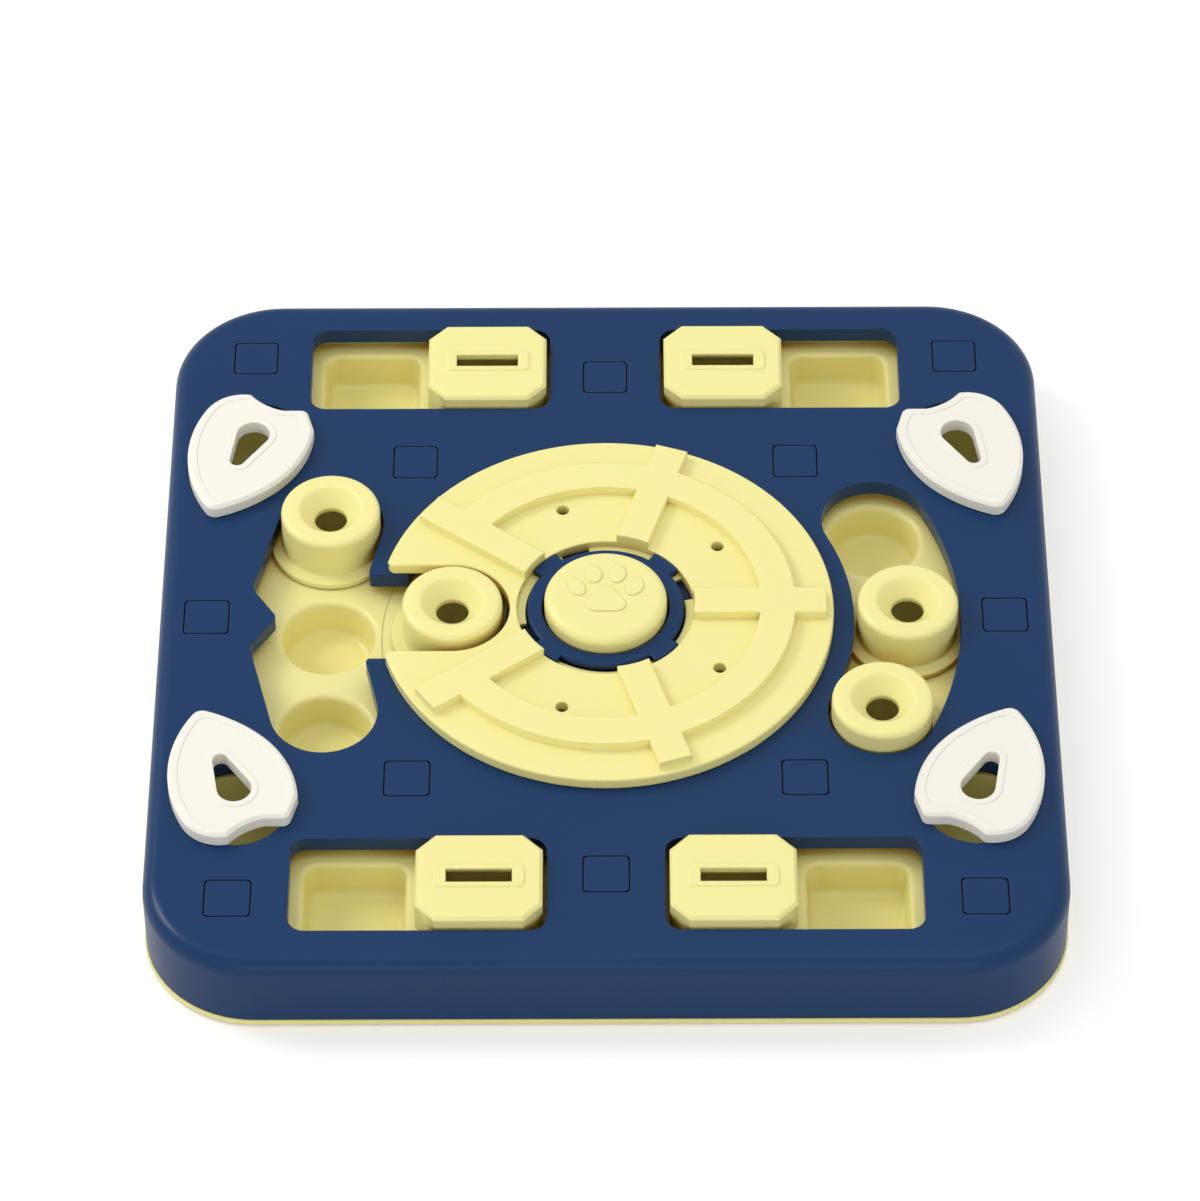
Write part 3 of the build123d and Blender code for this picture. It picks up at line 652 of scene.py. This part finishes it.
@dataclass
class CrossHead(Turned):
    """Screws seen from below, each head with a cross recess, in millimetres."""

    LEVEL_SLACK: ClassVar[float] = 1e-7
    RADIUS_SLACK: ClassVar[float] = 1e-6

    recess_reach: float = 2.1
    recess_width: float = 0.8
    recess_depth: float = 1.2
    recess_taper: float = 0.25  # how far the recess closes towards its floor, as a share

    def detail(self, form: bmesh.types.BMesh, place: Vector) -> None:
        """Close the head's open underside round a sunk cross.

        Args:
            form: The mesh being built.
            place: Where the screw's axis stands.
        """
        level = self.corners[0].height * MM
        mouth = self.corners[0].radius * MM
        reach = self.recess_reach * MM
        half = self.recess_width * MM / 2
        arm = [(reach, -half), (reach, half), (half, half)]
        outline = []
        for quarter in range(4):
            spin = Matrix.Rotation(quarter * math.pi / 2, 2)
            outline += [spin @ Vector(corner) for corner in arm]
        cross = [form.verts.new((place.x + at.x, place.y + at.y, level)) for at in outline]
        floor = form.faces.new(cross)
        painted_shade_mix = bmesh.ops.extrude_discrete_faces(form, faces=[floor])["faces"]
        for corner in painted_shade_mix[0].verts:
            corner.co.z += self.recess_depth * MM
            corner.co.x += (place.x - corner.co.x) * self.recess_taper
            corner.co.y += (place.y - corner.co.y) * self.recess_taper
        ring = [
            edge
            for edge in form.edges
            if all(
                abs(end.co.z - level) < self.LEVEL_SLACK
                and abs((end.co.xy - place.xy).length - mouth) < self.RADIUS_SLACK
                for end in edge.verts
            )
        ]
        rim = [form.edges.get((cross[index - 1], cross[index])) for index in range(len(cross))]
        bmesh.ops.triangle_fill(form, use_beauty=True, edges=ring + rim)


class Turnery:
    """Every turned piece of the toy."""

    PUCKS = ("kidney_puck_1", "kidney_puck_2", "maze_puck", "notch_puck")  # nodes, each a body too

    @staticmethod
    def middle(node: str) -> tuple[Vector, float, float]:
        """A node's middle, and its lowest and highest level in millimetres.

        Args:
            node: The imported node.

        Returns:
            The middle as a vector, the lowest level and the highest level.
        """
        low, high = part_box(node)
        centre = (Vector(low) + Vector(high)) / 2
        return centre, low[2] / MM, high[2] / MM

    def pucks(self) -> None:
        """The four hollow pucks with funnel tops and guide flanges."""
        radius, flange, bore = 15.4, 19.0, 13.4
        flange_height = 2.2
        funnel, hole = 9.8, 5.0
        funnel_depth, hole_depth, roof = 4.9, 6.9, 4.0  # below the puck's top
        for node in self.PUCKS:
            centre, bottom, top = self.middle(node)
            section = [
                Corner(flange, bottom, 0.4),
                Corner(flange, bottom + flange_height, 0.6),
                Corner(radius, bottom + flange_height, 0.5),
                Corner(radius, top, 2.0),
                Corner(funnel, top, 1.6),
                Corner(hole, top - funnel_depth, 0.7),
                Corner(hole, top - hole_depth, 0.3),
                Corner(funnel, top - roof, 1.0),
                Corner(bore, top - roof, 0.8),
                Corner(bore, bottom, 0.3),
            ]
            Turned(f"{node}_turned", Slot.CREAM, node, node, section, [centre]).build()

    def feet(self) -> None:
        """The four rubber feet, each with a shallow sunk ring in its sole."""
        low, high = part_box("rubber_feet")
        radius = 7.0
        groove, groove_wall, groove_width, groove_depth = 3.6, 0.2, 1.2, 0.2
        reach = Vector((high[0] - radius * MM, high[1] - radius * MM, 0.0))
        places = [Vector((reach.x * sx, reach.y * sy, 0.0)) for sx in (-1, 1) for sy in (-1, 1)]
        bottom, top = low[2] / MM, high[2] / MM
        section = [
            Corner(0.0, bottom),
            Corner(groove, bottom, 0.1),
            Corner(groove + groove_wall, bottom + groove_depth, 0.05),
            Corner(groove + groove_width - groove_wall, bottom + groove_depth, 0.05),
            Corner(groove + groove_width, bottom, 0.1),
            Corner(radius, bottom, 0.35),
            Corner(radius, top),
            Corner(0.0, top),
        ]
        name, node = "rubber_feet_turned", "rubber_feet"
        Turned(name, Slot.FOOT, "board", node, section, places, closed=False, segments=64).build()

    def cover_screws(self) -> None:
        """The twelve pan-headed screws under the board, each beneath its plug."""
        low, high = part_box("cover_screws")
        head, face, shank, tip = 3.6, 2.9, 1.7, 0.9
        head_height, point = 2.0, 0.8
        places = self.islands("cover_screws")
        bottom, top = low[2] / MM, high[2] / MM
        section = [
            Corner(face, bottom, 0.0),
            Corner(head, bottom, 0.5),
            Corner(head, bottom + head_height),
            Corner(shank, bottom + head_height),
            Corner(shank, top - point),
            Corner(tip, top),
            Corner(0.0, top),
        ]
        name, node = "cover_screws_turned", "cover_screws"
        CrossHead(name, Slot.STEEL, "board", node, section, places, closed=False, segments=48).build()

    @staticmethod
    def islands(node: str) -> list[Vector]:
        """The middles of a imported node's separate solids.

        Args:
            node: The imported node.

        Returns:
            One middle for each solid.
        """
        form = bmesh.new()
        form.from_mesh(frame["nodes"][node].data)
        bmesh.ops.remove_doubles(form, verts=form.verts, dist=TOUCHING)
        left = set(form.verts)
        middles = []
        while left:
            island = [left.pop()]
            for vert in island:
                for edge in vert.link_edges:
                    other = edge.other_vert(vert)
                    if other in left:
                        left.discard(other)
                        island.append(other)
            low = Vector(min(vert.co[axis] for vert in island) for axis in range(3))
            high = Vector(max(vert.co[axis] for vert in island) for axis in range(3))
            middles.append(Vector(((low.x + high.x) / 2, (low.y + high.y) / 2, 0.0)))
        form.free()
        return middles

    def build(self) -> None:
        """Turn all of them."""
        self.pucks()
        self.feet()
        self.cover_screws()


@dataclass
class SoftMoulding:
    """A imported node's form with its sharp corners really rounded, as a mould leaves them.

    Lengths and levels are in millimetres, and angles in degrees.
    """

    FLAT_WITHIN: ClassVar[float] = 0.4  # faces that meet at less than this are one
    SHARP_FROM: ClassVar[float] = 30.0
    ROUND: ClassVar[float] = 0.5  # bevel profile of a quarter circle

    node: str
    body: str
    slot: Slot
    radius: float
    sharpest: float = 28.0
    above: float = -1.0
    segments: int = 3

    def shape(self, form: bmesh.types.BMesh) -> None:
        """Change the merged form before its corners are rounded; most pieces stay as they are.

        Args:
            form: The merged form.
        """

    def rounds(self, edge: bmesh.types.BMEdge) -> bool:
        """Whether an edge of the merged form gets rounded.

        Args:
            edge: The edge.

        Returns:
            True for a sharp corner above the level.
        """
        if not edge.is_manifold or edge.calc_face_angle(0.0) <= math.radians(self.sharpest):
            return False
        return min(end.co.z for end in edge.verts) > self.above * MM

    def build(self) -> bpy.types.Object:
        """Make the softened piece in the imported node's place.

        Returns:
            The piece.
        """
        form = bmesh.new()
        form.from_mesh(frame["nodes"][self.node].data)
        bmesh.ops.remove_doubles(form, verts=form.verts, dist=PACKED_MERGED)
        self.shape(form)
        flat = math.radians(self.FLAT_WITHIN)
        bmesh.ops.dissolve_limit(form, angle_limit=flat, verts=form.verts, edges=form.edges)
        corners = [edge for edge in form.edges if self.rounds(edge)]
        bmesh.ops.bevel(
            form,
            geom=corners,
            offset=self.radius * MM,
            offset_type="OFFSET",
            segments=self.segments,
            profile=self.ROUND,
            affect="EDGES",
            clamp_overlap=True,
            material=-1,
        )
        piece = make_piece(f"{self.node}_soft", form, self.slot, self.body, self.node, self.SHARP_FROM)
        log.info("softened %s: %d corners, %d faces", self.node, len(corners), len(piece.data.polygons))
        return piece


@dataclass
class RibbedWheel(SoftMoulding):
    """The wheel, its ribs a little lower and rounder than the sharp form."""

    RIM_CUTS: ClassVar[int] = 3
    RIM_SLACK: ClassVar[float] = 0.02

    rib_drop: float = 0.9
    rib_reach: float = 1.2  # below the ribs' top, what belongs to their upper edges
    rim_start: float = 68.5  # radius from which the corners belong to the rim
    rim_edge: float = 0.7

    def shape(self, form: bmesh.types.BMesh) -> None:
        """Lower the ribs' tops and round the rim.

        Args:
            form: The merged form.
        """
        top = max(vert.co.z for vert in form.verts)
        tops = [vert for vert in form.verts if vert.co.z > top - self.rib_reach * MM]
        bmesh.ops.translate(form, verts=tops, vec=(0.0, 0.0, -self.rib_drop * MM))
        self.round_rim(form)

    def round_rim(self, form: bmesh.types.BMesh) -> None:
        """Divide the rim's coarse fillet, and bring it back to its true round.

        Args:
            form: The merged form.
        """
        slack = self.RIM_SLACK * MM
        reach = max(vert.co.xy.length for vert in form.verts)
        centre = reach - self.rim_edge * MM
        near = [vert for vert in form.verts if vert.co.xy.length > centre - slack]
        level = max(vert.co.z for vert in near) - self.rim_edge * MM
        rim = {vert for vert in near if vert.co.z > level - slack}
        edges = [edge for edge in form.edges if all(end in rim for end in edge.verts)]
        bmesh.ops.subdivide_edges(form, edges=edges, cuts=self.RIM_CUTS, use_grid_fill=True)
        for vert in form.verts:
            out = vert.co.xy.length
            if out > centre + slack and vert.co.z > level + slack:
                across = Vector((out - centre, vert.co.z - level)).normalized() * self.rim_edge * MM
                vert.co.xy *= (centre + across.x) / out
                vert.co.z = level + across.y

    def rounds(self, edge: bmesh.types.BMEdge) -> bool:
        """Whether an edge gets rounded; the wheel's rim already is.

        Args:
            edge: The edge.

        Returns:
            True for a sharp corner inside the rim.
        """
        return super().rounds(edge) and all(end.co.xy.length < self.rim_start * MM for end in edge.verts)


@dataclass
class Bellows(SoftMoulding):
    """The squeaker's rubber bellows, which shorten under the button."""

    joint: str = "button_press"

    def build(self) -> bpy.types.Object:
        """Make the bellows as a piece with a mesh of its own.

        Returns:
            The piece.
        """
        piece = super().build()
        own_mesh(piece)
        return piece


@dataclass
class Underside:
    """Low moulded relief under the pan, in millimetres: a rim round each screw well."""

    rim_height: float = 0.6
    rim_radius: float = 5.9
    rim_width: float = 0.9
    rim_lean: float = 0.15  # how far each side leans inwards, as a share of the width
    rim_edge: float = 0.2
    rim_root: float = 0.05  # how far the rim reaches into the pan

    def section(self) -> list[Corner]:
        """The section of one rim.

        Returns:
            The section's corners.
        """
        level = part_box("rubber_feet")[1][2] / MM
        top = level + self.rim_root
        low = level - self.rim_height
        return [
            Corner(self.rim_radius, top),
            Corner(self.rim_radius + self.rim_width * self.rim_lean, low, self.rim_edge),
            Corner(self.rim_radius + self.rim_width * (1 - self.rim_lean), low, self.rim_edge),
            Corner(self.rim_radius + self.rim_width, top),
        ]

    def build(self) -> None:
        """Mould the rims."""
        places = Turnery.islands("cover_screws")
        Turned("screw_rims", Slot.CREAM, "board", None, self.section(), places, segments=48).build()


@dataclass(frozen=True)
class Lamp:
    """One soft square light, with its place, its side in metres and its power in watts."""

    name: str
    place: tuple[float, float, float]
    size: float
    power: float
    colour: Colour = (1.0, 1.0, 1.0)


@dataclass
class Studio:
    """The pale floor, the soft lights and the camera."""

    LAMPS: ClassVar[tuple[Lamp, ...]] = (
        Lamp("key", (-1.15, 0.45, 1.15), 0.55, 8.0, (1.0, 0.995, 0.98)),
        Lamp("top", (0.1, 0.1, 1.7), 1.4, 3.0),
        Lamp("front", (0.0, -1.6, 0.45), 1.2, 3.0),
    )
    SKY_SEEN: ClassVar[float] = 1.0  # the sky's strength to the camera
    SKY_FELT: ClassVar[float] = 0.78  # and to everything else
    FLOOR_TONE: ClassVar[Colour] = (0.86, 0.86, 0.85)
    FLOOR_GLOW: ClassVar[Colour] = (1.0, 1.0, 0.985)
    FLOOR_LIFT: ClassVar[float] = 0.30  # the floor's own light, which only the camera sees
    FLOOR_DROP: ClassVar[float] = 0.0001  # metres below the feet

    target: Vector = field(default_factory=lambda: Vector((-0.0018, 0.0319, 0.0)))
    distance: float = 1.819
    elevation: float = 47.69
    yaw: float = -0.156
    roll: float = 0.294
    lens: float = 173.54
    sensor: float = 36.0
    nearest: float = 0.05
    floor_size: float = 4.0

    def camera(self) -> None:
        """Aim the camera at the board."""
        data = bpy.data.cameras.new("camera")
        data.lens = self.lens
        data.sensor_width = self.sensor
        data.clip_start = self.nearest
        camera = bpy.data.objects.new("camera", data)
        turn = Euler((math.radians(90 - self.elevation), 0, math.radians(-self.yaw)), "XYZ")
        spin = Matrix.Rotation(math.radians(-self.roll), 3, "Z")
        facing = turn.to_matrix() @ spin
        camera.rotation_euler = facing.to_euler()
        camera.location = self.target + facing @ Vector((0, 0, self.distance))
        bpy.context.scene.collection.objects.link(camera)
        bpy.context.scene.camera = camera

    def floor(self) -> None:
        """Lay a pale floor that keeps the toy's shadow and shows white to the camera."""
        mesh = bpy.data.meshes.new("floor")
        form = bmesh.new()
        bmesh.ops.create_grid(form, x_segments=1, y_segments=1, size=self.floor_size)
        form.to_mesh(mesh)
        form.free()
        mesh.transform(Matrix.Translation((0.0, 0.0, -self.FLOOR_DROP)))
        floor = bpy.data.objects.new("floor", mesh)
        bpy.context.scene.collection.objects.link(floor)
        material = bpy.data.materials.new("studio_floor")
        material.use_nodes = True
        tree = material.node_tree
        shader = tree.nodes["Principled BSDF"]
        shader.inputs["Base Color"].default_value = (*self.FLOOR_TONE, 1.0)
        shader.inputs["Roughness"].default_value = 0.9
        shader.inputs["Specular IOR Level"].default_value = 0.0
        shader.inputs["Emission Color"].default_value = (*self.FLOOR_GLOW, 1.0)
        path = tree.nodes.new("ShaderNodeLightPath")
        lift = tree.nodes.new("ShaderNodeMath")
        lift.operation = "MULTIPLY"
        lift.inputs[1].default_value = self.FLOOR_LIFT
        tree.links.new(path.outputs["Is Camera Ray"], lift.inputs[0])
        tree.links.new(lift.outputs[0], shader.inputs["Emission Strength"])
        mesh.materials.append(material)

    @staticmethod
    def hang(lamp: Lamp) -> None:
        """Hang one light, facing the board.

        Args:
            lamp: The light.
        """
        data = bpy.data.lights.new(lamp.name, "AREA")
        data.shape = "SQUARE"
        data.size = lamp.size
        data.energy = lamp.power
        data.color = lamp.colour
        light = bpy.data.objects.new(lamp.name, data)
        light.location = lamp.place
        light.rotation_euler = (-Vector(lamp.place)).to_track_quat("-Z", "Y").to_euler()
        bpy.context.scene.collection.objects.link(light)

    def lights(self) -> None:
        """Light the board from the left, with an even sky."""
        for lamp in self.LAMPS:
            self.hang(lamp)
        world = bpy.data.worlds.new("studio")
        world.use_nodes = True
        sky = world.node_tree.nodes["Background"]
        sky.inputs["Color"].default_value = (1.0, 1.0, 1.0, 1.0)
        path = world.node_tree.nodes.new("ShaderNodeLightPath")
        seen = world.node_tree.nodes.new("ShaderNodeMix")
        seen.data_type = "FLOAT"
        seen.inputs["A"].default_value = self.SKY_FELT
        seen.inputs["B"].default_value = self.SKY_SEEN
        world.node_tree.links.new(path.outputs["Is Camera Ray"], seen.inputs["Factor"])
        world.node_tree.links.new(seen.outputs["Result"], sky.inputs["Strength"])
        bpy.context.scene.world = world

    def build(self) -> None:
        """Set up camera, floor and lights."""
        self.camera()
        self.floor()
        self.lights()
        bpy.context.scene.view_settings.view_transform = "Standard"
        log.info("studio ready")


class Softened:
    """Every piece whose corners are rounded again."""

    SETS = (1, 2, 3, 4)  # the board's four sliders and four flaps

    def build(self) -> None:
        """Soften them; the levels keep out what lies under the cover."""
        RibbedWheel("wheel", "wheel", Slot.CREAM, radius=0.45, above=29.0).build()
        Bellows("squeaker", "board", Slot.SQUEAKER, radius=0.2).build()
        for number in self.SETS:
            slider, flap = f"slider_{number}", f"flap_{number}"
            SoftMoulding(slider, slider, Slot.CREAM, radius=0.5, above=29.9).build()
            SoftMoulding(flap, flap, Slot.WHITE, radius=0.45).build()


def main() -> None:
    """Build the studio and dress the toy."""
    Studio().build()
    PackedPieces().build()
    Turnery().build()
    Underside().build()
    Softened().build()


if __name__ == "__main__":
    main()
